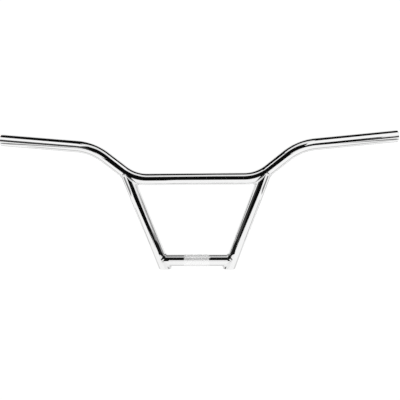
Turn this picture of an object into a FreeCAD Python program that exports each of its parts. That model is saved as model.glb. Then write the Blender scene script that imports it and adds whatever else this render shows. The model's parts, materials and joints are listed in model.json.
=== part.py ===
"""BMX handlebar of four steel tubes: a bent top bar, two coped legs and a coped clamp tube,
with the plates that close the legs' feet and the weld beads at the four joints.

Frame: origin at the middle of the clamp tube, +X along the clamp tube, +Z up, +Y towards the rider.
Lengths are in millimetres and angles in degrees.
"""
import FreeCAD, Part
import Sketcher
import math
import os

SIZES = (
    ("tube_diameter", "22.2", "outside of the tube stock, which takes the grips and the stem"),
    ("bar_wall", "1.5", "wall of the top bar"),
    ("crossbar_height", "153.8", "clamp axis up to crossbar axis"),
    ("crossbar_straight", "179.5", "straight run of the crossbar between the lower bends"),
    ("lower_bend_radius", "70", "centreline radius where the crossbar turns up"),
    ("slant_angle", "38.3", "slant above the horizontal"),
    ("slant_straight", "41.2", "straight run between lower and upper bend"),
    ("upper_bend_radius", "95", "centreline radius where the slant turns into the grip"),
    ("grip_upsweep", "4", "grip above the horizontal"),
    ("grip_backsweep", "12", "grip back towards the rider, seen from above"),
    ("grip_straight", "156.2", "straight run that takes a grip"),
    ("end_chamfer", "0.4", "deburred edges of the tube ends"),
    ("leg_wall", "1.5", "wall of a leg"),
    ("leg_head_angle", "33.8", "how far round the lower bend the leg's axis meets the bar's"),
    ("leg_foot_spread", "132.5", "between the leg axes at the clamp axis"),
    ("leg_drop", "15.9", "clamp axis down to the underside of the leg caps"),
    ("cap_thickness", "2", "plate that closes a leg's foot"),
    ("cap_bevel", "0.8", "bevelled lower edge of that plate"),
    ("clamp_wall", "1.8", "wall of the clamp tube"),
    ("fit_gap", "0.2", "gap left for the weld between a coped end and the tube it meets"),
    ("bead_radius", "2.8", "radius of a weld bead"),
    ("bead_sink", "1.1", "bead's centre inside the coped tube's surface"),
    ("bead_lift", "0.2", "bead's centre outside the surface of the tube that it meets"),
    ("vent_diameter", "5", "hole that lets gas out of a leg while it is welded"),
)
SIDES = (("left", -1), ("right", 1))
# Rings along a weld bead, sides of each ring, and halvings of the search for its place
BEAD_RINGS = 20
RING_SIDES = 12
HALVINGS = 30
# Edges whose centres lie this close together are taken to lie at one place
SAME_PLACE = 0.01
UP = FreeCAD.Vector(0, 0, 1)

doc = FreeCAD.newDocument("bmx_handlebar")


def add_sheet():
    """Puts the driving sizes in a spreadsheet, one aliased cell each."""
    sheet = doc.addObject("Spreadsheet::Sheet", "sizes")
    for row, (alias, size, meaning) in enumerate(SIZES, start=1):
        sheet.set(f"A{row}", meaning)
        sheet.set(f"B{row}", size)
        sheet.setAlias(f"B{row}", alias)
    doc.recompute()
    return sheet


sizes = add_sheet()

# Places worked out from the driving sizes, as expressions
CROSSBAR_END = "(sizes.crossbar_straight / 2)"
LOWER_TANGENT = "(sizes.lower_bend_radius * tan(sizes.slant_angle / 2))"
SLANT_REACH = f"({LOWER_TANGENT} + sizes.slant_straight)"
SLANT_END_X = f"({CROSSBAR_END} + {LOWER_TANGENT} + {SLANT_REACH} * cos(sizes.slant_angle))"
SLANT_END_Z = f"(sizes.crossbar_height + {SLANT_REACH} * sin(sizes.slant_angle))"
# The grip's direction: out, back and up, then along the slant and square to it in the front plane
GRIP_OUT = "cos(sizes.grip_upsweep) * cos(sizes.grip_backsweep)"
GRIP_BACK = "cos(sizes.grip_upsweep) * sin(sizes.grip_backsweep)"
GRIP_UP = "sin(sizes.grip_upsweep)"
GRIP_ALONG = f"({GRIP_OUT} * cos(sizes.slant_angle) + {GRIP_UP} * sin(sizes.slant_angle))"
GRIP_ACROSS = f"({GRIP_UP} * cos(sizes.slant_angle) - {GRIP_OUT} * sin(sizes.slant_angle))"
UPPER_BEND_ANGLE = f"acos({GRIP_ALONG})"
UPPER_BEND_ROLL = f"atan2({GRIP_ACROSS}; {GRIP_BACK})"
# The leg's axis, from its foot on the clamp axis to its head on the bar's axis
LEG_FOOT_X = "(sizes.leg_foot_spread / 2)"
LEG_HEAD_X = f"({CROSSBAR_END} + sizes.lower_bend_radius * sin(sizes.leg_head_angle))"
LEG_HEAD_Z = "(sizes.crossbar_height + sizes.lower_bend_radius * (1 - cos(sizes.leg_head_angle)))"
LEG_LENGTH = f"sqrt(({LEG_HEAD_X} - {LEG_FOOT_X}) ^ 2 + {LEG_HEAD_Z} ^ 2)"
LEG_TILT = f"atan2({LEG_HEAD_X} - {LEG_FOOT_X}; {LEG_HEAD_Z})"
LEG_BELOW = f"(sizes.leg_drop / cos({LEG_TILT}) + sizes.tube_diameter)"
CAP_TOP_Z = "(sizes.cap_thickness - sizes.leg_drop)"
# Radii of the tube stock, of the cutters that cope tube ends to it, and of the vents
TUBE_RADIUS = "sizes.tube_diameter / 2"
COPE_RADIUS = f"{TUBE_RADIUS} + sizes.fit_gap"
VENT_RADIUS = "sizes.vent_diameter / 2"
# The bead's centre, from the axis of the coped tube and from the axis of the tube that it meets
BEAD_COPED_RADIUS = f"{TUBE_RADIUS} - sizes.bead_sink"
BEAD_MET_RADIUS = f"{TUBE_RADIUS} + sizes.bead_lift"


def value(expression):
    """The number that an expression over the sheet stands for."""
    return float(sizes.evalExpression(expression))


def origin_plane(body, role):
    """One of a body's own origin planes."""
    return next(item for item in body.Origin.OriginFeatures if item.Role == role)


def add_body(name):
    """An empty body in the document."""
    return doc.addObject("PartDesign::Body", name)


def add_sketch(body, name, place):
    """An empty sketch of a body, moved from the body's XY plane to a place given as an expression."""
    sketch = body.newObject("Sketcher::SketchObject", f"{body.Name}_{name}")
    sketch.AttachmentSupport = [(origin_plane(body, "XY_Plane"), "")]
    sketch.MapMode = "FlatFace"
    sketch.setExpression("AttachmentOffset", place)
    return sketch


def add_size(sketch, kind, where, name, expression, angle=False):
    """Adds a named dimension to a sketch and ties it to the sheet."""
    start = value(expression)
    index = sketch.addConstraint(Sketcher.Constraint(kind, *where, math.radians(start) if angle else start))
    sketch.renameConstraint(index, name)
    sketch.setExpression(f"Constraints.{name}", expression)


def add_section(body, name, place, radii):
    """A sketch of circles round its own origin: one for a rod, two for a tube."""
    sketch = add_sketch(body, name, place)
    for number, radius in enumerate(radii, start=1):
        circle = sketch.addGeometry(Part.Circle(FreeCAD.Vector(), UP, value(radius)))
        sketch.addConstraint(Sketcher.Constraint("Coincident", circle, 3, -1, 1))
        add_size(sketch, "Radius", (circle,), f"radius_{number}", radius)
    return sketch


def add_run(sketch, start, heading, length, name, expression):
    """A straight run of a path, from a point along a heading, with its length tied to the sheet."""
    end = start + FreeCAD.Vector(math.cos(heading), math.sin(heading), 0) * length
    line = sketch.addGeometry(Part.LineSegment(start, end))
    add_size(sketch, "Distance", (line,), name, expression)
    return line, end


def add_bend(sketch, start, radius, turn, name, expression):
    """A bend of a path that leaves a point along the sketch's own X direction and turns left."""
    circle = Part.Circle(start + FreeCAD.Vector(0, radius, 0), UP, radius)
    first = -math.pi / 2
    arc = sketch.addGeometry(Part.ArcOfCircle(circle, first, first + turn))
    add_size(sketch, "Radius", (arc,), name, expression)
    end = circle.value(first + turn)
    return arc, end


def add_pipe(body, name, section, path):
    """Sweeps a section of a body along all edges of a path."""
    pipe = body.newObject("PartDesign::AdditivePipe", f"{body.Name}_{name}")
    pipe.Profile = section
    pipe.Spine = (path, [f"Edge{number}" for number in range(1, len(path.Shape.Edges) + 1)])
    return pipe


def add_front_pipe(body, radii):
    """The right half of the crossbar, the lower bend and the slant."""
    path = add_sketch(body, "front_path", "placement(vector(0; 0; 0); rotation(0; 0; 90))")
    start = FreeCAD.Vector(0, sizes.crossbar_height, 0)
    turn = math.radians(sizes.slant_angle)
    run, end = add_run(path, start, 0, value(CROSSBAR_END), "crossbar_run", CROSSBAR_END)
    bend, end = add_bend(path, end, sizes.lower_bend_radius, turn, "bend_radius", "sizes.lower_bend_radius")
    slant = add_run(path, end, turn, sizes.slant_straight, "slant_run", "sizes.slant_straight")[0]
    path.addConstraint(Sketcher.Constraint("PointOnObject", run, 1, -2))
    path.addConstraint(Sketcher.Constraint("Horizontal", run))
    path.addConstraint(Sketcher.Constraint("Tangent", run, 2, bend, 1))
    path.addConstraint(Sketcher.Constraint("Tangent", bend, 2, slant, 1))
    add_size(path, "DistanceY", (-1, 1, run, 1), "height", "sizes.crossbar_height")
    add_size(path, "Angle", (slant,), "slant_angle", "sizes.slant_angle", angle=True)
    section = add_section(body, "crossbar_section",
                          "placement(vector(0; 0; sizes.crossbar_height); rotation(0; 90; 0))", radii)
    doc.recompute()
    return add_pipe(body, "front_pipe", section, path)


def add_grip_pipe(body, radii):
    """The right upper bend and grip, in the plane that holds both the slant and the grip."""
    slant_end = f"vector({SLANT_END_X}; 0; {SLANT_END_Z})"
    path = add_sketch(body, "grip_path",
                      f"placement({slant_end}; rotation(0; -sizes.slant_angle; {UPPER_BEND_ROLL}))")
    turn = math.radians(value(UPPER_BEND_ANGLE))
    bend, end = add_bend(path, FreeCAD.Vector(), sizes.upper_bend_radius, turn,
                         "bend_radius", "sizes.upper_bend_radius")
    grip = add_run(path, end, turn, sizes.grip_straight, "grip_run", "sizes.grip_straight")[0]
    path.addConstraint(Sketcher.Constraint("Coincident", bend, 1, -1, 1))
    path.addConstraint(Sketcher.Constraint("PointOnObject", bend, 3, -2))
    path.addConstraint(Sketcher.Constraint("Tangent", bend, 2, grip, 1))
    add_size(path, "Angle", (grip,), "bend_angle", UPPER_BEND_ANGLE, angle=True)
    section = add_section(body, "slant_section",
                          f"placement({slant_end}; rotation(0; 90 - sizes.slant_angle; 0))", radii)
    doc.recompute()
    return add_pipe(body, "grip_pipe", section, path)


def mirror_across(body, pipes):
    """Adds the left half of a body as the mirror image of its right half."""
    mirror = body.newObject("PartDesign::Mirrored", f"{body.Name}_halves")
    mirror.Originals = pipes
    mirror.MirrorPlane = (origin_plane(body, "YZ_Plane"), [""])
    body.Tip = mirror
    doc.recompute()
    return mirror


def add_bar_core(name, radius):
    """A solid rod along the crossbar, lower bends and slants."""
    body = add_body(name)
    mirror_across(body, [add_front_pipe(body, [radius])])
    return body


def add_bar_stock():
    """The whole bent tube, with its end edges deburred."""
    body = add_body("top_bar_stock")
    radii = [TUBE_RADIUS, f"{TUBE_RADIUS} - sizes.bar_wall"]
    halves = mirror_across(body, [add_front_pipe(body, radii), add_grip_pipe(body, radii)])
    reach = max(abs(edge.CenterOfMass.x) for edge in halves.Shape.Edges)
    ends = [f"Edge{number}" for number, edge in enumerate(halves.Shape.Edges, start=1)
            if math.isclose(abs(edge.CenterOfMass.x), reach, abs_tol=SAME_PLACE)]
    chamfer = body.newObject("PartDesign::Chamfer", "top_bar_stock_ends")
    chamfer.Base = (halves, ends)
    chamfer.setExpression("Size", "sizes.end_chamfer")
    body.Tip = chamfer
    return body


def add_rod(name, place, start, length, radii):
    """A straight rod or tube along its own Z direction, from start, at a place given as an expression."""
    body = add_body(name)
    section = add_section(body, "section", f"placement(vector(0; 0; {start}); rotation(0; 0; 0))", radii)
    pad = body.newObject("PartDesign::Pad", f"{name}_pad")
    pad.Profile = section
    pad.setExpression("Length", length)
    body.setExpression("Placement", place)
    return body


def add_leg_rod(name, sign, radii):
    """A rod or tube along a leg's axis, from below the leg's foot to its head on the bar's axis."""
    place = f"placement(vector({sign} * {LEG_FOOT_X}; 0; 0); rotation(0; {sign} * {LEG_TILT}; 0))"
    return add_rod(name, place, f"-{LEG_BELOW}", f"{LEG_LENGTH} + {LEG_BELOW}", radii)


def add_cross_rod(name, radii):
    """A rod or tube along the clamp axis, between the axes of the legs."""
    place = f"placement(vector(-{LEG_FOOT_X}; 0; 0); rotation(0; 90; 0))"
    return add_rod(name, place, "0", "sizes.leg_foot_spread", radii)


def add_slab(name, top, thickness):
    """A flat block under both feet, from its top downwards."""
    slab = doc.addObject("Part::Box", name)
    slab.setExpression("Length", "2 * sizes.leg_foot_spread")
    slab.setExpression("Width", "2 * sizes.tube_diameter")
    slab.setExpression("Height", thickness)
    slab.setExpression("Placement.Base.x", "-sizes.leg_foot_spread")
    slab.setExpression("Placement.Base.y", "-sizes.tube_diameter")
    slab.setExpression("Placement.Base.z", f"{top} - {thickness}")
    return slab


def combine(kind, name, base, tool):
    """A boolean of two objects."""
    result = doc.addObject(kind, name)
    result.Base = base
    result.Tool = tool
    result.Refine = False
    return result


def cut_all(name, base, tools):
    """Cuts tools from a base one after another; the last result takes the name."""
    for number, tool in enumerate(tools, start=1):
        step = name if number == len(tools) else f"{name}_cut_{number}"
        base = combine("Part::Cut", step, base, tool)
    return base


def add_cap(name, leg_core, slab):
    """A plate with the outline of a leg's level foot, its lower edge bevelled."""
    plate = combine("Part::Common", f"{name}_plate", leg_core, slab)
    doc.recompute()
    edges = plate.Shape.Edges
    lowest = min(edge.CenterOfMass.z for edge in edges)
    bevelled = [number for number, edge in enumerate(edges, start=1)
                if math.isclose(edge.CenterOfMass.z, lowest, abs_tol=SAME_PLACE)]
    cap = doc.addObject("Part::Chamfer", name)
    cap.Base = plate
    cap.Edges = [(number, sizes.cap_bevel, sizes.cap_bevel) for number in bevelled]
    return cap


def bead_line(sign, start, end, met_axis):
    """Closed curve round a coped tube's end, near where its surface runs into the tube that it meets."""
    coped_radius = value(BEAD_COPED_RADIUS)
    met_radius = value(BEAD_MET_RADIUS)
    along = (end - start).normalize()
    across = FreeCAD.Vector(0, 1, 0)
    third = along.cross(across)
    points = []
    for step in range(BEAD_RINGS):
        angle = 2 * math.pi * step / BEAD_RINGS
        offset = (across * math.cos(angle) + third * math.sin(angle)) * coped_radius
        outside, inside = 0.0, start.distanceToPoint(end)
        for halving in range(HALVINGS):
            middle = (outside + inside) / 2
            point = start + along * middle + offset
            if Part.Vertex(point).distToShape(met_axis)[0] > met_radius:
                outside = middle
            else:
                inside = middle
        points.append(FreeCAD.Vector(sign * point.x, point.y, point.z))
    curve = Part.BSplineCurve()
    curve.interpolate(Points=points, PeriodicFlag=True)
    return curve


def add_bead(name, curve, cores):
    """A weld bead: a round rope along a closed curve, less the tubes that it lies on."""
    rings = []
    span = curve.LastParameter - curve.FirstParameter
    middle = curve.toShape().CenterOfMass
    for step in range(BEAD_RINGS):
        along = curve.FirstParameter + span * step / BEAD_RINGS
        point = curve.value(along)
        turn = FreeCAD.Rotation(point - middle, FreeCAD.Vector(), curve.tangent(along)[0], "ZXY")
        ring = doc.addObject("Part::RegularPolygon", f"{name}_ring_{step + 1}")
        ring.Polygon = RING_SIDES
        ring.setExpression("Circumradius", "sizes.bead_radius")
        ring.Placement = FreeCAD.Placement(point, turn)
        rings.append(ring)
    rope = doc.addObject("Part::Loft", f"{name}_rope")
    rope.Sections = rings
    rope.Solid = True
    rope.Ruled = True
    rope.Closed = True
    return cut_all(name, rope, cores)


def build():
    """Builds every piece of the handlebar and returns them."""
    bar_core = add_bar_core("bar_core", TUBE_RADIUS)
    saddle = add_bar_core("saddle_cutter", COPE_RADIUS)
    floor = add_slab("foot_cutter", CAP_TOP_Z, "2 * sizes.tube_diameter")
    cap_slab = add_slab("cap_slab", CAP_TOP_Z, "sizes.cap_thickness")
    clamp_core = add_cross_rod("clamp_core", [TUBE_RADIUS])
    foot_drill = add_cross_rod("foot_drill", [VENT_RADIUS])
    doc.recompute()
    foot = FreeCAD.Vector(value(LEG_FOOT_X), 0, 0)
    head = FreeCAD.Vector(value(LEG_HEAD_X), 0, value(LEG_HEAD_Z))
    leg_axis = Part.LineSegment(foot - (head - foot), head).toShape()
    bar_axis = doc.getObject("bar_core_front_path").Shape
    pieces, drills, cope_cutters = [], [], []
    for side, sign in SIDES:
        leg_core = add_leg_rod(f"{side}_leg_core", sign, [TUBE_RADIUS])
        stock = add_leg_rod(f"{side}_leg_stock", sign, [TUBE_RADIUS, f"{TUBE_RADIUS} - sizes.leg_wall"])
        drills.append(add_leg_rod(f"{side}_head_drill", sign, [VENT_RADIUS]))
        cope_cutters.append(add_leg_rod(f"{side}_cope_cutter", sign, [COPE_RADIUS]))
        pieces.append(cut_all(f"{side}_leg", stock, [saddle, floor, foot_drill]))
        pieces.append(add_cap(f"{side}_leg_cap", leg_core, cap_slab))
        top_line = bead_line(sign, foot, head, bar_axis)
        pieces.append(add_bead(f"{side}_top_weld", top_line, [leg_core, bar_core]))
        foot_line = bead_line(sign, FreeCAD.Vector(), foot, leg_axis)
        pieces.append(add_bead(f"{side}_foot_weld", foot_line, [clamp_core, leg_core]))
    clamp_stock = add_cross_rod("clamp_tube_stock", [TUBE_RADIUS, f"{TUBE_RADIUS} - sizes.clamp_wall"])
    pieces.append(cut_all("clamp_tube", clamp_stock, cope_cutters))
    pieces.append(cut_all("top_bar", add_bar_stock(), drills))
    doc.recompute()
    return pieces


def check(pieces):
    """Stops the build if anything in the document failed or a piece is not one sound solid."""
    for item in doc.Objects:
        if {"Invalid", "Error"} & set(item.State):
            raise RuntimeError(f"{item.Label} failed: {item.State}")
    for piece in pieces:
        shape = piece.Shape
        if shape.isNull() or not shape.isValid() or len(shape.Solids) != 1:
            raise RuntimeError(f"{piece.Label} is not one sound solid")


def write(pieces):
    """Writes each piece to a file of its own name."""
    os.makedirs("parts", exist_ok=True)
    for piece in pieces:
        piece.Shape.exportStep(f"parts/{piece.Label}.step")
        print(piece.Label, round(piece.Shape.Volume, 1))


pieces = build()
check(pieces)
write(pieces)
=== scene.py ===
"""Looks of a chrome-plated BMX handlebar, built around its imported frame.

Lengths are in metres and angles in radians. The origin is the middle of the clamp tube,
+X runs along that tube, +Y towards the rider and +Z up.
"""
import json
import math
import bmesh
import bpy
import numpy as np
from mathutils import Matrix, Vector


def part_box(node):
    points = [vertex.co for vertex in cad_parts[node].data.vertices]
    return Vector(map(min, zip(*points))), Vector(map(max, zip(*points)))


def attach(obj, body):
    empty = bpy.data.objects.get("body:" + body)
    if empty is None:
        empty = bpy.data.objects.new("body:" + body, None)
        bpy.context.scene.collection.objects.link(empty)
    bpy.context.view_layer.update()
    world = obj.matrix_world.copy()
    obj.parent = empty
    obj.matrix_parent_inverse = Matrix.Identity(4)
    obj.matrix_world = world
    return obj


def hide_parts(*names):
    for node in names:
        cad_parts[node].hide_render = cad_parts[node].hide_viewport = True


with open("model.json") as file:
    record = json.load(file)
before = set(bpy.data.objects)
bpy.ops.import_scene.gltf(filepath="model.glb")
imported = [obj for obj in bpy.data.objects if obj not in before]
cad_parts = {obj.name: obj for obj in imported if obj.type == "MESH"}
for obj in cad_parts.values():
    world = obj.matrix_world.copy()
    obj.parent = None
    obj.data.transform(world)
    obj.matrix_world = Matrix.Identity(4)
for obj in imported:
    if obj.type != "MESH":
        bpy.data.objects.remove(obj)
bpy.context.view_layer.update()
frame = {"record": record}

X_AXIS = Vector((1, 0, 0))
Y_AXIS = Vector((0, 1, 0))
Z_AXIS = Vector((0, 0, 1))

# Tube stock, read from the frame's mounts
MILLIMETRE = 0.001
mounts = {mount["name"]: mount for mount in frame["record"]["mounts"]}
TUBE_RADIUS = mounts["stem_clamp"]["dims"]["r_mm"] * MILLIMETRE
BAR_BORE = mounts["bar_end_right"]["dims"]["r_mm"] * MILLIMETRE
GRIP_DIRECTION = Vector(mounts["grip_right"]["axis"])

# The bar's line, on the right-hand side
CROSSBAR_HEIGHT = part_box("top_bar")[0].z + TUBE_RADIUS
CROSSBAR_HALF = 0.08975
LOWER_BEND_RADIUS = 0.070
SLANT_ANGLE = math.radians(38.3)
SLANT_STRAIGHT = 0.0412
UPPER_BEND_RADIUS = 0.095
GRIP_STRAIGHT = 0.1562
END_ROUND = 0.0004

# Legs, their caps and the clamp tube
LEG_HEAD_ANGLE = math.radians(33.8)
LEG_FOOT_X = 0.06625
LEG_BORE = 0.0096
CAP_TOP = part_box("right_leg_cap")[1].z
CAP_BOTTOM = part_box("right_leg_cap")[0].z
CAP_BEVEL = 0.0008
CLAMP_BORE = 0.0093
WELD_GAP = 0.0002

# Weld beads: how far they reach along each tube, their crown, the least share of it that is left
# where the tubes' surfaces run into each other, and how deep their toes and roots lie
BEAD_REACH = 0.0028
BEAD_CROWN = 0.0004
TOP_LEAST_CROWN = 0.85
FOOT_LEAST_CROWN = 0.3
BEAD_SINK = 0.00005
BEAD_ROOT = 0.0009
# Ripples of the beads: their length and height, and how far they bow, as a share of their length
RIPPLE_LENGTH = 0.0021
RIPPLE_HEIGHT = 0.00014
RIPPLE_BOW = 0.3

# Knurled band on the clamp tube: its pyramids stand on a floor just above the tube
KNURL_HALF_WIDTH = 0.0236
KNURL_PITCH = 0.0013
KNURL_FLOOR = 0.00002
KNURL_HEIGHT = 0.00016

# Mesh fineness
SIDES = 96
STRAIGHT_STEP = 0.006
BEND_STEP = math.radians(1.5)
TUBE_STEPS = 36
LIP_STEPS = 4
CAP_STEPS = 6
BEAD_STEPS = 480
BEAD_FACES = 16
SHARP_ANGLE = math.radians(32)
HALVINGS = 40

# Finishes: grey levels, range of roughness, strength of the polishing marks, scale of the smudges, metalness
FINISHES = {
    "chrome_plate": ((0.86, 0.9), (0.02, 0.05), 0.05, 14, 1),
    "weld_plate": ((0.78, 0.86), (0.03, 0.08), 0.1, 120, 1),
    "knurl_plate": ((0.9, 0.95), (0.24, 0.32), 0.1, 160, 0.55),
}
# Where in the noise the tint and the gloss change, and the scale and depth of the polishing marks
TINT_STOPS = (0.3, 0.7)
GLOSS_STOPS = (0.35, 0.75)
POLISH_SCALE = 900
POLISH_DEPTH = 0.00002

# Camera, found by fitting the bar's line to the photograph
VIEW_DISTANCE = 1.4
VIEW_PITCH = math.radians(8.47)
VIEW_YAW = math.radians(3.58)
VIEW_ROLL = math.radians(-0.85)
VIEW_TARGET = Vector((0, 0, 0.114))
VIEW_LENS = 67.9
VIEW_SHIFT = (0.01, 0.0002)

# The floor: how far it reaches sideways and behind, where its front edge is, how far below the caps it lies,
# its own glow, its grey levels, its roughness and the scale of its mottle
FLOOR_REACH = 20
FLOOR_FRONT = -0.58
FLOOR_DROP = 0.074
FLOOR_HEIGHT = CAP_BOTTOM - FLOOR_DROP
FLOOR_GLOW = 0.74
FLOOR_LEVELS = (0.27, 0.29)
FLOOR_ROUGHNESS = 0.9
MOTTLE_SCALE = 60

# Even light all round, and the dark room that only reflections show
SKY_STRENGTH = 1.06
ROOM_GREY = 0.004

# Studio cards that only show in reflections. Each has a name, a brightness and its four corners.
# Level cards overhead, and just above the floor: each corner is (right, back)
OVERHEAD_HEIGHT = 1.2
OVERHEAD_CARDS = (
    ("overhead_left", 0.9, ((-0.577, -1.05), (0, -0.8), (0, -0.1), (-0.577, -0.42))),
    ("overhead_right", 0.9, ((0, -0.8), (0.479, -1.05), (0.479, -0.2), (0, -0.1))),
)
CARD_LIFT = 0.0002
FLOOR_CARDS = (
    ("front_strip", 0.95, ((-0.12, -0.95), (0.45, -0.72), (0.45, FLOOR_FRONT), (-0.12, FLOOR_FRONT))),
    ("left_wing", 0.95, ((-0.6, -1.9), (-0.5, FLOOR_FRONT), (-0.88, FLOOR_FRONT), (-1.15, -1.9))),
    ("right_wing", 0.95, ((0.5, -1.9), (0.45, FLOOR_FRONT), (0.64, FLOOR_FRONT), (0.82, -1.9))),
    # The middle and grip shade cards are painted shadow: grey sheets on the floor where the bar's shadow
    # falls, seen only in reflections.
    ("middle_shade", 0.74, ((-0.3, -0.01), (0.3, -0.01), (0.3, 0.1), (-0.3, 0.1))),
    ("left_grip_shade", 0.5, ((-0.5, -0.01), (-0.3, -0.01), (-0.3, 0.1), (-0.5, 0.1))),
    ("right_grip_shade", 0.5, ((0.3, -0.01), (0.5, -0.01), (0.5, 0.1), (0.3, 0.1))),
    ("left_table_edge", 0.25, ((-0.7, -0.48), (-0.57, -0.48), (-0.57, -0.01), (-0.7, -0.01))),
    ("right_table_edge", 0.25, ((0.53, -0.36), (0.64, -0.36), (0.64, 0), (0.53, 0))),
    ("back_shade", 0.05, ((-1.5, 0.45), (1.5, 0.45), (1.5, 0.95), (-1.5, 0.95))),
)
# Upright cards that face along Y, at a depth: each corner is (right, up).
# The low card lights the clamp tube from in front, and the flags darken its upper front.
BACK_DEPTH = 1.0
BACK_CARDS = (
    ("back_card", 0.95, ((-3, 0), (3, 0), (3, 1.574), (-3, 1.574))),
)
LOW_DEPTH = -0.06
LOW_CARDS = (
    ("low_card", 0.95, ((-0.057, -0.02), (0.057, -0.02), (0.057, 0.012), (-0.057, 0.012))),
)
FLAG_DEPTH = -0.022
FLAG_CARDS = (
    ("left_flag", 0.01, ((-0.07, 0.012), (-0.0245, 0.012), (-0.0245, 0.042), (-0.07, 0.042))),
    ("middle_flag", 0.01, ((-0.0245, 0.008), (0.0245, 0.008), (0.0245, 0.026), (-0.0245, 0.026))),
    ("right_flag", 0.01, ((0.0245, 0.012), (0.07, 0.012), (0.07, 0.042), (0.0245, 0.042))),
)
# Upright cards that face the bar from the front left and right, at a distance: each corner is (outwards, up)
SIDE_DISTANCE = 1.1
RIGHT_CARDS = (
    ("right_card", 1.05, ((-0.42, 0.5), (0.758, 0.48), (0.758, 2.089), (-0.42, 2.089))),
)
LEFT_CARDS = (
    ("left_card", 1.05, ((-0.1, 0.46), (0.75, 0.36), (0.75, 1.322), (-0.42, 1.322))),
    ("left_outer_card", 1.05, ((0.75, 0.36), (1.3, 0.1), (1.3, 1.322), (0.75, 1.322))),
)
DIM_DISTANCE = 1.15
DIM_CARDS = (
    ("dim_card", 0.06, ((-0.25, -0.3), (0.9, -0.3), (0.9, 0.28), (-0.25, 0.44))),
)
FAR_DISTANCE = 3.0
FAR_CARDS = (
    ("far_card", 0.9, ((-0.3, 0.43), (1.1, 0.68), (1.1, 1.5), (-0.3, 1.2))),
    ("far_low_card", 0.26, ((-0.4, 0.05), (1.1, 0.2), (1.1, 0.68), (-0.3, 0.43))),
    ("far_side_card", 0.42, ((1.1, 0.2), (4, 0.4), (4, 1.8), (1.1, 1.5))),
)


def add_node(tree, kind, inputs=None):
    """A shader node with its unlinked input values."""
    node = tree.nodes.new(kind)
    for name, entry in (inputs or {}).items():
        node.inputs[name].default_value = entry
    return node


def add_ramp(tree, source, positions, levels):
    """A ramp from one grey level to another, between two positions of a source socket."""
    ramp = add_node(tree, "ShaderNodeValToRGB")
    for element, position, level in zip(ramp.color_ramp.elements, positions, levels):
        element.position = position
        element.color = (level, level, level, 1)
    tree.links.new(source, ramp.inputs["Fac"])
    return ramp.outputs["Color"]


def chrome_material(name):
    """Chrome plate: grey levels that drift, smudges in the gloss and fine polishing marks."""
    levels, roughness, polish_strength, smudge_scale, metalness = FINISHES[name]
    material = bpy.data.materials.new(name)
    material.use_nodes = True
    tree = material.node_tree
    shader = tree.nodes["Principled BSDF"]
    shader.inputs["Metallic"].default_value = metalness
    place = add_node(tree, "ShaderNodeTexCoord")
    smudge = add_node(tree, "ShaderNodeTexNoise", {"Scale": smudge_scale, "Detail": 6, "Roughness": 0.6})
    polish = add_node(tree, "ShaderNodeTexNoise", {"Scale": POLISH_SCALE, "Detail": 3, "Roughness": 0.55})
    bump = add_node(tree, "ShaderNodeBump", {"Strength": polish_strength, "Distance": POLISH_DEPTH})
    for texture in (smudge, polish):
        tree.links.new(place.outputs["Object"], texture.inputs["Vector"])
    tint = add_ramp(tree, smudge.outputs["Fac"], TINT_STOPS, levels)
    gloss = add_ramp(tree, smudge.outputs["Fac"], GLOSS_STOPS, roughness)
    tree.links.new(tint, shader.inputs["Base Color"])
    tree.links.new(gloss, shader.inputs["Roughness"])
    tree.links.new(polish.outputs["Fac"], bump.inputs["Height"])
    tree.links.new(bump.outputs["Normal"], shader.inputs["Normal"])
    return material


def glow_material(name, brightness):
    """A black material without gloss that glows white."""
    material = bpy.data.materials.new(name)
    material.use_nodes = True
    shader = material.node_tree.nodes["Principled BSDF"]
    shader.inputs["Base Color"].default_value = (0, 0, 0, 1)
    shader.inputs["Specular IOR Level"].default_value = 0
    shader.inputs["Emission Color"].default_value = (1, 1, 1, 1)
    shader.inputs["Emission Strength"].default_value = brightness
    return material


def floor_material():
    """A white floor lit from below, with a faint mottle."""
    material = glow_material("light_table", FLOOR_GLOW)
    tree = material.node_tree
    shader = tree.nodes["Principled BSDF"]
    shader.inputs["Roughness"].default_value = FLOOR_ROUGHNESS
    place = add_node(tree, "ShaderNodeTexCoord")
    mottle = add_node(tree, "ShaderNodeTexNoise", {"Scale": MOTTLE_SCALE, "Detail": 4})
    tree.links.new(place.outputs["Object"], mottle.inputs["Vector"])
    tint = add_ramp(tree, mottle.outputs["Fac"], TINT_STOPS, FLOOR_LEVELS)
    tree.links.new(tint, shader.inputs["Base Color"])
    return material


def add_mesh(name, points, faces, material):
    """A mesh object in the scene."""
    mesh = bpy.data.meshes.new(name)
    mesh.from_pydata([tuple(point) for point in points], [], faces)
    mesh.materials.append(material)
    holder = bpy.data.objects.new(name, mesh)
    bpy.context.scene.collection.objects.link(holder)
    return holder


def face_outwards(mesh):
    """Turns the faces of a closed mesh outwards, those of a mirrored one too."""
    shell = bmesh.new()
    shell.from_mesh(mesh)
    bmesh.ops.recalc_face_normals(shell, faces=shell.faces)
    shell.to_mesh(mesh)
    shell.free()


def add_piece(name, points, faces, material, slot, node=None):
    """A smooth mesh piece that rides on the bar, and stands for a node where one is named."""
    piece = add_mesh(name, points, faces, material)
    face_outwards(piece.data)
    piece.data.shade_smooth()
    piece.data.set_sharp_from_angle(angle=SHARP_ANGLE)
    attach(piece, "root")
    if node:
        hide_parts(node)


def skin(rings, looped):
    """Points and faces of a surface through rings of equal length, looped back to the first ring or not."""
    sides = len(rings[0])
    points = [point for ring in rings for point in ring]
    faces = []
    for row in range(len(rings) if looped else len(rings) - 1):
        near = row * sides
        far = (row + 1) % len(rings) * sides
        for side in range(sides):
            other = (side + 1) % sides
            faces.append((near + side, near + other, far + other, far + side))
    return points, faces


def straight(start, direction, length):
    """Places and directions along a straight run, without its last place."""
    steps = max(1, math.ceil(length / STRAIGHT_STEP))
    return [(start + direction * (length * step / steps), direction) for step in range(steps)]


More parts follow.
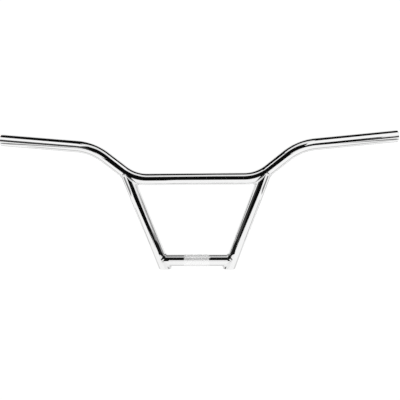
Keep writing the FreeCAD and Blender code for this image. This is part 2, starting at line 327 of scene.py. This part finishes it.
def bend(start, direction, inward, radius, turn):
    """Places and directions along a bend towards its inward side, without its last place."""
    steps = math.ceil(turn / BEND_STEP)
    places = []
    for step in range(steps):
        angle = turn * step / steps
        point = start + (direction * math.sin(angle) + inward * (1 - math.cos(angle))) * radius
        places.append((point, direction * math.cos(angle) + inward * math.sin(angle)))
    return places


def bar_line():
    """Places and directions along the whole bar, from the left end to the right."""
    slant = Vector((math.cos(SLANT_ANGLE), 0, math.sin(SLANT_ANGLE)))
    inward = (GRIP_DIRECTION - slant * GRIP_DIRECTION.dot(slant)).normalized()
    bend_start = Vector((CROSSBAR_HALF, 0, CROSSBAR_HEIGHT))
    slant_start = bend_start + X_AXIS * (LOWER_BEND_RADIUS * math.sin(SLANT_ANGLE))
    slant_start += Z_AXIS * (LOWER_BEND_RADIUS * (1 - math.cos(SLANT_ANGLE)))
    slant_end = slant_start + slant * SLANT_STRAIGHT
    grip_turn = slant.angle(GRIP_DIRECTION)
    grip_start = slant_end + slant * (UPPER_BEND_RADIUS * math.sin(grip_turn))
    grip_start += inward * (UPPER_BEND_RADIUS * (1 - math.cos(grip_turn)))
    right = straight(Vector((0, 0, CROSSBAR_HEIGHT)), X_AXIS, CROSSBAR_HALF)
    right += bend(bend_start, X_AXIS, Z_AXIS, LOWER_BEND_RADIUS, SLANT_ANGLE)
    right += straight(slant_start, slant, SLANT_STRAIGHT)
    right += bend(slant_end, slant, inward, UPPER_BEND_RADIUS, grip_turn)
    right += straight(grip_start, GRIP_DIRECTION, GRIP_STRAIGHT)
    right.append((grip_start + GRIP_DIRECTION * GRIP_STRAIGHT, GRIP_DIRECTION))
    left = []
    for point, direction in right[:0:-1]:
        left.append((Vector((-point.x, point.y, point.z)), Vector((direction.x, -direction.y, -direction.z))))
    return left + right


def sweep_rings(places, radius):
    """Rings round a line, turned no more than the line itself turns."""
    across = Y_AXIS
    last = places[0][1]
    rings = []
    for point, direction in places:
        across = last.rotation_difference(direction) @ across
        across = (across - direction * across.dot(direction)).normalized()
        third = direction.cross(across)
        last = direction
        rings.append([point + (across * math.cos(angle) + third * math.sin(angle)) * radius
                      for angle in (2 * math.pi * side / SIDES for side in range(SIDES))])
    return rings


def rounded_lip(outer_end, inner_end, direction):
    """Rings that round the rim of a tube's end, from its outer ring to its inner one."""
    rings = []
    for outward, ring, other in ((True, outer_end, inner_end), (False, inner_end, outer_end)):
        lip = []
        for step in range(LIP_STEPS + 1):
            angle = math.pi / 2 * step / LIP_STEPS
            inset = END_ROUND * (1 - math.cos(angle))
            drop = END_ROUND * (1 - math.sin(angle))
            lip.append([point + (far - point).normalized() * inset - direction * drop
                        for point, far in zip(ring, other)])
        rings += lip if outward else lip[::-1]
    return rings


def add_top_bar(places, material):
    """The bent tube, open at both ends, with its rims rounded."""
    outer = sweep_rings(places, TUBE_RADIUS)
    inner = sweep_rings(places, BAR_BORE)
    right_lip = rounded_lip(outer[-1], inner[-1], places[-1][1])
    left_lip = rounded_lip(outer[0], inner[0], -places[0][1])
    rings = outer[1:-1] + right_lip + inner[-2:0:-1] + left_lip[::-1]
    add_piece("chrome_top_bar", *skin(rings, True), material, "tube_chrome", "top_bar")


def line_offsets(points, line):
    """Each point's distance to a line of points, and its direction from the nearest place there."""
    start = line[:-1]
    span = np.diff(line, axis=0)
    offset = points[:, None, :] - start[None, :, :]
    share = np.clip((offset * span).sum(2) / (span * span).sum(1), 0, 1)
    gaps = offset - share[..., None] * span
    nearest = np.linalg.norm(gaps, axis=2).argmin(1)
    gap = gaps[np.arange(len(points)), nearest]
    distance = np.linalg.norm(gap, axis=1)
    return distance, gap / distance[:, None]


def tube_spokes(along, radius, count):
    """Offsets from the line of a straight tube to points round it."""
    angles = np.arange(count) * 2 * np.pi / count
    across = np.array(Y_AXIS)
    third = np.cross(along, across)
    return (np.cos(angles)[:, None] * across + np.sin(angles)[:, None] * third) * radius


def cope_line(start, along, radius, length, met_line, met_radius, count):
    """Where the lines of a tube's surface come within a radius of the line of the tube that it meets."""
    spokes = tube_spokes(along, radius, count)
    outside = np.zeros(count)
    inside = np.full(count, length)
    for _ in range(HALVINGS):
        middle = (outside + inside) / 2
        points = start + middle[:, None] * along + spokes
        far = line_offsets(points, met_line)[0] > met_radius
        outside = np.where(far, middle, outside)
        inside = np.where(far, inside, middle)
    return start + inside[:, None] * along + spokes


def clamp_cope(radius, leg_points, met_radius, count):
    """Where the clamp tube's surface meets the right leg."""
    return cope_line(np.zeros(3), np.array(X_AXIS), radius, LEG_FOOT_X, leg_points, met_radius, count)


def tube_rings(near, far, steps):
    """Rings between two end outlines of a straight tube."""
    return [[Vector(point) for point in near + (far - near) * step / steps] for step in range(steps + 1)]


def foot_outline(foot, along, radius, height):
    """Outline of a leg's tube where a level plane cuts it."""
    spokes = tube_spokes(along, radius, SIDES)
    travel = (height - foot[2] - spokes[:, 2]) / along[2]
    return foot + travel[:, None] * along + spokes


def mirrored(points, sign):
    """Points of the right-hand side, or their mirror image for sign -1."""
    return np.asarray(points) * (sign, 1, 1)


def add_leg(side, sign, foot, along, length, bar_points, material):
    """A leg's tube from its level foot to the saddle under the bar."""
    outlines = []
    for radius in (TUBE_RADIUS, LEG_BORE):
        low = foot_outline(foot, along, radius, CAP_TOP)
        high = cope_line(foot, along, radius, length, bar_points, TUBE_RADIUS + WELD_GAP, SIDES)
        outlines.append(tube_rings(mirrored(low, sign), mirrored(high, sign), TUBE_STEPS))
    add_piece(f"chrome_{side}_leg", *skin(outlines[0] + outlines[1][::-1], True),
              material, "tube_chrome", f"{side}_leg")


def add_cap(side, sign, foot, along, material):
    """The plate that closes a leg's foot, its lower edge rounded."""
    rings = [foot_outline(foot, along, TUBE_RADIUS, CAP_TOP)]
    for step in range(CAP_STEPS + 1):
        angle = math.pi / 2 * step / CAP_STEPS
        radius = TUBE_RADIUS - CAP_BEVEL * (1 - math.cos(angle))
        rings.append(foot_outline(foot, along, radius, CAP_BOTTOM + CAP_BEVEL * (1 - math.sin(angle))))
    points, faces = skin([[Vector(point) for point in mirrored(ring, sign)] for ring in rings], False)
    faces.append(tuple(range(SIDES))[::-1])
    faces.append(tuple(range(len(points) - SIDES, len(points))))
    add_piece(f"chrome_{side}_leg_cap", points, faces, material, "tube_chrome", f"{side}_leg_cap")


def add_clamp_tube(leg_points, material):
    """The clamp tube, coped to the legs at both ends."""
    outlines = []
    for radius in (TUBE_RADIUS, CLAMP_BORE):
        high = clamp_cope(radius, leg_points, TUBE_RADIUS + WELD_GAP, SIDES)
        outlines.append(tube_rings(mirrored(high, -1), high, TUBE_STEPS))
    add_piece("chrome_clamp_tube", *skin(outlines[0] + outlines[1][::-1], True),
              material, "tube_chrome", "clamp_tube")


def add_bead(name, sign, line, tube_lines, least_crown, material):
    """A weld bead: a low rippled fillet along the closed line where two tubes meet."""
    tangent = np.roll(line, -1, 0) - np.roll(line, 1, 0)
    tangent /= np.linalg.norm(tangent, axis=1)[:, None]
    normals = [line_offsets(line, tube)[1] for tube in tube_lines]
    outward = normals[0] + normals[1]
    outward /= np.linalg.norm(outward, axis=1)[:, None]
    facing = np.sign((np.cross(tangent, normals[0]) * normals[1]).sum())
    toes = []
    for tube, normal, turn in zip(tube_lines, normals, (facing, -facing)):
        toe = line + turn * np.cross(tangent, normal) * BEAD_REACH
        distance, direction = line_offsets(toe, tube)
        toes.append(toe + direction * (TUBE_RADIUS - BEAD_SINK - distance)[:, None])
    lengths = np.linalg.norm(np.roll(line, -1, 0) - line, axis=1)
    travel = np.concatenate(([0], np.cumsum(lengths)[:-1])) / lengths.sum()
    ripples = round(lengths.sum() / RIPPLE_LENGTH)
    sharpness = np.clip(1 - (normals[0] * normals[1]).sum(1), least_crown, 1)
    layers = []
    for share in np.linspace(0, 1, BEAD_FACES + 1):
        bulge = 4 * share * (1 - share)
        scallop = np.abs(np.cos(np.pi * (ripples * travel + RIPPLE_BOW * bulge)))
        height = sharpness * bulge * (BEAD_CROWN + RIPPLE_HEIGHT * scallop)
        layers.append(toes[0] + (toes[1] - toes[0]) * share + outward * height[:, None])
    layers.append(toes[1] - normals[1] * BEAD_ROOT)
    layers.append(line - outward * BEAD_ROOT)
    layers.append(toes[0] - normals[0] * BEAD_ROOT)
    sections = np.stack([mirrored(layer, sign) for layer in layers], 1)
    rings = [[Vector(point) for point in section] for section in sections]
    add_piece(f"rippled_{name}", *skin(rings, True), material, "weld_chrome", name)


def add_knurl(material):
    """The band of small pyramids that the stem bites on."""
    columns = round(2 * math.pi * TUBE_RADIUS / KNURL_PITCH)
    rows = 2 * round(2 * KNURL_HALF_WIDTH / KNURL_PITCH)
    spacing = 2 * KNURL_HALF_WIDTH / rows
    points = []
    index = {}

    def corner(row, column, height):
        """The number of a point of the lattice, in half columns, made once."""
        key = (row, column % (2 * columns), height)
        if key not in index:
            angle = math.pi * column / columns
            radius = TUBE_RADIUS + height
            along = row * spacing - KNURL_HALF_WIDTH
            index[key] = len(points)
            points.append((along, radius * math.cos(angle), radius * math.sin(angle)))
        return index[key]

    low = KNURL_FLOOR
    high = KNURL_FLOOR + KNURL_HEIGHT
    deep = -KNURL_HEIGHT
    faces = []
    for row in range(1, rows):
        for column in range(columns):
            middle = 2 * column + row % 2
            apex = corner(row, middle, high)
            rim = [corner(row, middle - 1, low), corner(row - 1, middle, low),
                   corner(row, middle + 1, low), corner(row + 1, middle, low)]
            faces += [(rim[edge], apex, rim[(edge + 1) % 4]) for edge in range(4)]
    for row, inner, turn in ((0, 1, 1), (rows, rows - 1, -1)):
        for column in range(columns):
            middle = 2 * column + row % 2
            left = corner(row, middle - 1, low)
            right = corner(row, middle + 1, low)
            tip = corner(inner, middle, low)
            faces.append((left, tip, right)[::turn])
            faces.append((left, right, corner(row, middle + 1, deep), corner(row, middle - 1, deep))[::turn])
    for column in range(1, 2 * columns, 2):
        faces.append((corner(0, column, deep), corner(0, column + 2, deep),
                      corner(rows, column + 2, deep), corner(rows, column, deep)))
    add_piece("knurled_band", points, faces, material, "tube_chrome")


def add_sheet(name, corners, material):
    """A flat four-cornered sheet of the stage."""
    sheet = add_mesh(name, corners, [(0, 1, 2, 3)], material)
    return sheet


def add_floor():
    """A wide white floor below the bar, which ends in front of it."""
    corners = [(-FLOOR_REACH, FLOOR_FRONT, FLOOR_HEIGHT), (FLOOR_REACH, FLOOR_FRONT, FLOOR_HEIGHT),
               (FLOOR_REACH, FLOOR_REACH, FLOOR_HEIGHT), (-FLOOR_REACH, FLOOR_REACH, FLOOR_HEIGHT)]
    add_sheet("sweep_floor", corners, floor_material())


def add_card(name, brightness, corners):
    """A card that only shows in reflections, bright or dim."""
    card = add_sheet(name, corners, glow_material(name, brightness))
    card.visible_camera = False
    card.visible_diffuse = False
    card.visible_shadow = False


def add_level_cards(cards, height):
    """Level cards at a height."""
    for name, brightness, places in cards:
        add_card(name, brightness, [(right, back, height) for right, back in places])


def add_upright_cards(cards, depth):
    """Upright cards that face along Y, at a depth."""
    for name, brightness, places in cards:
        add_card(name, brightness, [(right, depth, up) for right, up in places])


def add_side_cards(cards, sign, distance):
    """Upright cards that face the bar from the front right at 45 degrees, or the front left for sign -1."""
    for name, brightness, places in cards:
        corners = []
        for outwards, up in places:
            right = (distance + outwards) / math.sqrt(2)
            back = (outwards - distance) / math.sqrt(2)
            corners.append((sign * right, back, up))
        add_card(name, brightness, corners)


def add_studio():
    """Soft studio light: even white all round, and for reflections large cards in a dark room."""
    world = bpy.data.worlds.new("studio")
    world.use_nodes = True
    bpy.context.scene.world = world
    tree = world.node_tree
    tree.nodes.clear()
    output = add_node(tree, "ShaderNodeOutputWorld")
    mix = add_node(tree, "ShaderNodeMixShader")
    even = add_node(tree, "ShaderNodeBackground", {"Color": (1, 1, 1, 1), "Strength": SKY_STRENGTH})
    room = add_node(tree, "ShaderNodeBackground", {"Color": (ROOM_GREY, ROOM_GREY, ROOM_GREY, 1)})
    path = add_node(tree, "ShaderNodeLightPath")
    tree.links.new(path.outputs["Is Glossy Ray"], mix.inputs["Fac"])
    tree.links.new(even.outputs["Background"], mix.inputs[1])
    tree.links.new(room.outputs["Background"], mix.inputs[2])
    tree.links.new(mix.outputs["Shader"], output.inputs["Surface"])
    add_level_cards(OVERHEAD_CARDS, OVERHEAD_HEIGHT)
    add_level_cards(FLOOR_CARDS, FLOOR_HEIGHT + CARD_LIFT)
    add_upright_cards(BACK_CARDS, BACK_DEPTH)
    add_upright_cards(LOW_CARDS, LOW_DEPTH)
    add_upright_cards(FLAG_CARDS, FLAG_DEPTH)
    add_side_cards(RIGHT_CARDS, 1, SIDE_DISTANCE)
    add_side_cards(FAR_CARDS, 1, FAR_DISTANCE)
    add_side_cards(LEFT_CARDS, -1, SIDE_DISTANCE)
    add_side_cards(DIM_CARDS, -1, DIM_DISTANCE)


def add_camera():
    """The camera at the photograph's angle."""
    camera = bpy.data.cameras.new("photo_camera")
    camera.lens = VIEW_LENS
    camera.shift_x, camera.shift_y = VIEW_SHIFT
    holder = bpy.data.objects.new("photo_camera", camera)
    bpy.context.scene.collection.objects.link(holder)
    back = Vector((math.cos(VIEW_PITCH) * math.sin(VIEW_YAW), -math.cos(VIEW_PITCH) * math.cos(VIEW_YAW),
                   math.sin(VIEW_PITCH)))
    turn = (-back).to_track_quat("-Z", "Y").to_matrix().to_4x4()
    roll = Matrix.Rotation(VIEW_ROLL, 4, "Z")
    holder.matrix_world = Matrix.Translation(VIEW_TARGET + back * VIEW_DISTANCE) @ turn @ roll
    bpy.context.scene.camera = holder
    bpy.context.scene.view_settings.view_transform = "Standard"


def dress():
    """Builds every piece over the frame."""
    tube = chrome_material("chrome_plate")
    weld = chrome_material("weld_plate")
    knurl = chrome_material("knurl_plate")
    places = bar_line()
    bar_points = np.array([tuple(point) for point, _ in places])
    foot = np.array((LEG_FOOT_X, 0, 0))
    head = np.array((CROSSBAR_HALF + LOWER_BEND_RADIUS * math.sin(LEG_HEAD_ANGLE), 0,
                     CROSSBAR_HEIGHT + LOWER_BEND_RADIUS * (1 - math.cos(LEG_HEAD_ANGLE))))
    length = np.linalg.norm(head - foot)
    along = (head - foot) / length
    leg_points = np.array((foot - along * length, head))
    clamp_points = np.array(((0, 0, 0), (LEG_FOOT_X, 0, 0)))
    top_line = cope_line(foot, along, TUBE_RADIUS, length, bar_points, TUBE_RADIUS, BEAD_STEPS)
    foot_line = clamp_cope(TUBE_RADIUS, leg_points, TUBE_RADIUS, BEAD_STEPS)
    add_top_bar(places, tube)
    add_clamp_tube(leg_points, tube)
    add_knurl(knurl)
    for side, sign in (("left", -1), ("right", 1)):
        add_leg(side, sign, foot, along, length, bar_points, tube)
        add_cap(side, sign, foot, along, tube)
        add_bead(f"{side}_top_weld", sign, top_line, (leg_points, bar_points), TOP_LEAST_CROWN, weld)
        add_bead(f"{side}_foot_weld", sign, foot_line, (clamp_points, leg_points), FOOT_LEAST_CROWN, weld)


dress()
add_floor()
add_studio()
add_camera()
